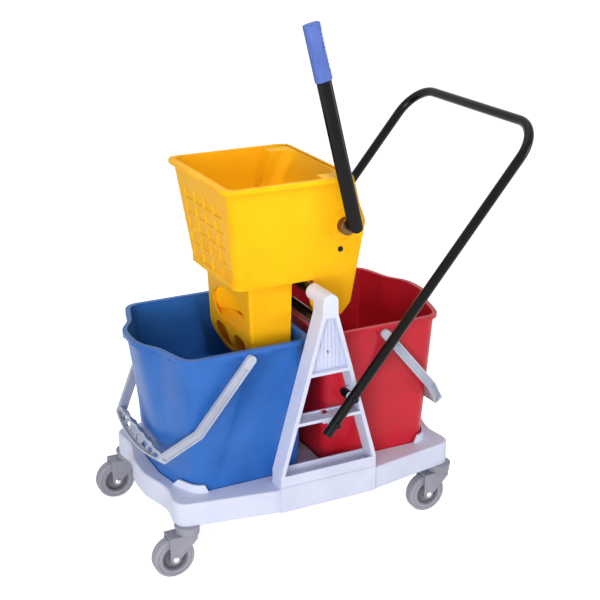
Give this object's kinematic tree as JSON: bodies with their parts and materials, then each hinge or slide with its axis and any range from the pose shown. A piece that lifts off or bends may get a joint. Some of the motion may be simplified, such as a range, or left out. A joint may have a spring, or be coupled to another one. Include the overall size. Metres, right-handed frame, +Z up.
{
  "type": "mop bucket trolley with wringer",
  "caption": "Two-bucket mopping trolley with a down-press wringer, push handle and swivel casters.",
  "frame": {"origin": "on the floor at the middle of the whole trolley's length and width", "axes": "+X from the blue bucket to the red bucket, +Z up, the press lever on the -Y side"},
  "size_m": [0.7446, 0.4446, 0.9444],
  "materials": {
    "grey_plastic": "moulded polypropylene, satin",
    "blue_plastic": "moulded polypropylene, glossy",
    "red_plastic": "moulded polypropylene, glossy",
    "yellow_plastic": "moulded polypropylene, glossy",
    "pale_grey_plastic": "moulded polypropylene, satin",
    "caster_grey": "moulded nylon, satin",
    "tyre_grey": "thermoplastic rubber, matt",
    "black_paint": "gloss powder coat on steel tube",
    "black_plastic": "moulded, glossy",
    "zinc_steel": "zinc plated",
    "blue_grip": "soft moulded grip, textured"
  },
  "bodies": {
    "trolley": {"base_tray": "grey_plastic", "a_frame_front": "grey_plastic", "a_frame_rear": "grey_plastic", "cross_tube_upper": "black_paint", "cross_tube_lower": "black_paint", "frame_screws": "zinc_steel", "push_handle": "black_paint", "handle_end_plugs": "black_plastic", "handle_bolts": "black_paint", "handle_cap_nuts": "black_plastic", "caster_collars": "caster_grey"},
    "caster_front_left": {"caster_fork_front_left": "caster_grey", "caster_axle_front_left": "zinc_steel"},
    "wheel_front_left": {"caster_hub_front_left": "caster_grey", "caster_tyre_front_left": "tyre_grey"},
    "caster_front_right": {"caster_fork_front_right": "caster_grey", "caster_axle_front_right": "zinc_steel"},
    "wheel_front_right": {"caster_hub_front_right": "caster_grey", "caster_tyre_front_right": "tyre_grey"},
    "caster_rear_left": {"caster_fork_rear_left": "caster_grey", "caster_axle_rear_left": "zinc_steel"},
    "wheel_rear_left": {"caster_hub_rear_left": "caster_grey", "caster_tyre_rear_left": "tyre_grey"},
    "caster_rear_right": {"caster_fork_rear_right": "caster_grey", "caster_axle_rear_right": "zinc_steel"},
    "wheel_rear_right": {"caster_hub_rear_right": "caster_grey", "caster_tyre_rear_right": "tyre_grey"},
    "wringer": {"wringer_housing": "yellow_plastic", "shaft_bushes": "black_plastic", "cheek_screws": "black_paint"},
    "press": {"press_plate": "yellow_plastic", "press_racks": "zinc_steel"},
    "lever": {"lever_shaft": "zinc_steel", "gear_sectors": "zinc_steel", "lever_tube": "black_paint", "lever_grip": "blue_grip"},
    "blue_bucket": {"blue_bucket": "blue_plastic"},
    "red_bucket": {"red_bucket": "red_plastic"},
    "blue_bail": {"blue_bail": "pale_grey_plastic"},
    "red_bail": {"red_bail": "pale_grey_plastic"}
  },
  "joints": [
    {"name": "swivel_front_left", "type": "hinge", "parent": "trolley", "child": "caster_front_left", "pos_m": [-0.30615, -0.1578, 0.0797], "axis": [0, 0, 1], "continuous": true},
    {"name": "roll_front_left", "type": "hinge", "parent": "caster_front_left", "child": "wheel_front_left", "pos_m": [-0.33485, -0.1578, 0.0375], "axis": [0, 1, 0], "continuous": true},
    {"name": "swivel_front_right", "type": "hinge", "parent": "trolley", "child": "caster_front_right", "pos_m": [0.21145, -0.1578, 0.0797], "axis": [0, 0, 1], "continuous": true},
    {"name": "roll_front_right", "type": "hinge", "parent": "caster_front_right", "child": "wheel_front_right", "pos_m": [0.18275, -0.1578, 0.0375], "axis": [0, 1, 0], "continuous": true},
    {"name": "swivel_rear_left", "type": "hinge", "parent": "trolley", "child": "caster_rear_left", "pos_m": [-0.30615, 0.1578, 0.0797], "axis": [0, 0, 1], "continuous": true},
    {"name": "roll_rear_left", "type": "hinge", "parent": "caster_rear_left", "child": "wheel_rear_left", "pos_m": [-0.33485, 0.1578, 0.0375], "axis": [0, 1, 0], "continuous": true},
    {"name": "swivel_rear_right", "type": "hinge", "parent": "trolley", "child": "caster_rear_right", "pos_m": [0.21145, 0.1578, 0.0797], "axis": [0, 0, 1], "continuous": true},
    {"name": "roll_rear_right", "type": "hinge", "parent": "caster_rear_right", "child": "wheel_rear_right", "pos_m": [0.18275, 0.1578, 0.0375], "axis": [0, 1, 0], "continuous": true},
    {"name": "wringer_lift", "type": "slide", "parent": "trolley", "child": "wringer", "axis": [0, 0, 1], "range_m": [0, 0.26]},
    {"name": "lever_press", "type": "hinge", "parent": "wringer", "child": "lever", "pos_m": [0.01665, 0, 0.587], "axis": [0, 1, 0], "range_deg": [0, 65]},
    {"name": "press_slide", "type": "slide", "parent": "wringer", "child": "press", "axis": [-1, 0, 0], "range_m": [0, 0.0342]},
    {"name": "blue_bucket_lift", "type": "slide", "parent": "trolley", "child": "blue_bucket", "axis": [0, 0, 1], "range_m": [0, 0.055]},
    {"name": "red_bucket_lift", "type": "slide", "parent": "trolley", "child": "red_bucket", "axis": [0, 0, 1], "range_m": [0, 0.006]},
    {"name": "blue_bail_swing", "type": "hinge", "parent": "blue_bucket", "child": "blue_bail", "pos_m": [-0.18035, 0, 0.382], "axis": [0, 1, 0], "range_deg": [0, 120]},
    {"name": "red_bail_swing", "type": "hinge", "parent": "red_bucket", "child": "red_bail", "pos_m": [0.08565, 0, 0.382], "axis": [0, -1, 0], "range_deg": [0, 120]}
  ],
  "couplings": [
    {"joint": "press_slide", "follows": "lever_press", "m_per_rad": 0.03}
  ]
}
